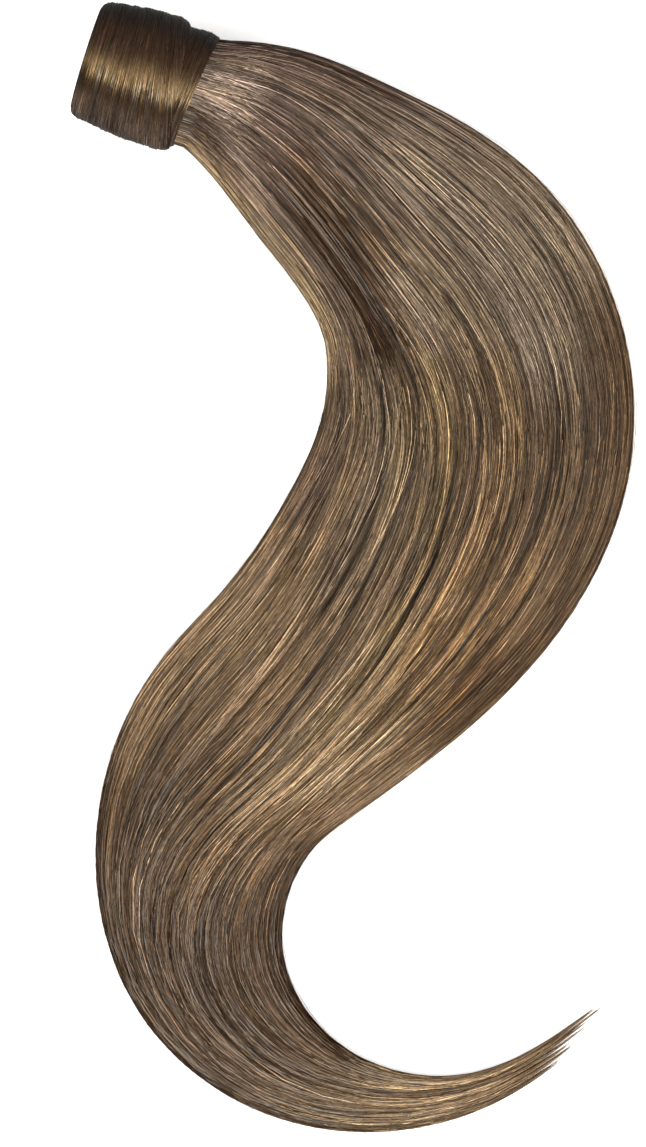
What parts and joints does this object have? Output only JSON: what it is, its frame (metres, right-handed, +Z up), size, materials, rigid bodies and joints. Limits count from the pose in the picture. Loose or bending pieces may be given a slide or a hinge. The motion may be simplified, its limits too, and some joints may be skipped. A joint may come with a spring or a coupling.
{
  "type": "ponytail hairpiece",
  "caption": "Long straight ponytail hairpiece laid in an S on a surface, its hair-wrapped base built on an open cloth band with a comb inside.",
  "frame": {"origin": "middle of the footprint, on the surface that the hairpiece lies on", "axes": "+Z up from the surface, +Y along the length of the S from the tip's end to the base's end, +X across it towards the side where the tip points"},
  "size_m": [0.2032, 0.406, 0.042],
  "materials": {
    "tail_hair": "satin hair",
    "wrap_hair": "glossy hair",
    "band_cloth": "matt woven",
    "comb_plastic": "gloss"
  },
  "bodies": {
    "root": {"hair_tail": "tail_hair", "wrap_outer_turn": "wrap_hair", "wrap_inner_turn": "wrap_hair", "fixing_band": "band_cloth", "comb": "comb_plastic"}
  },
  "joints": []
}
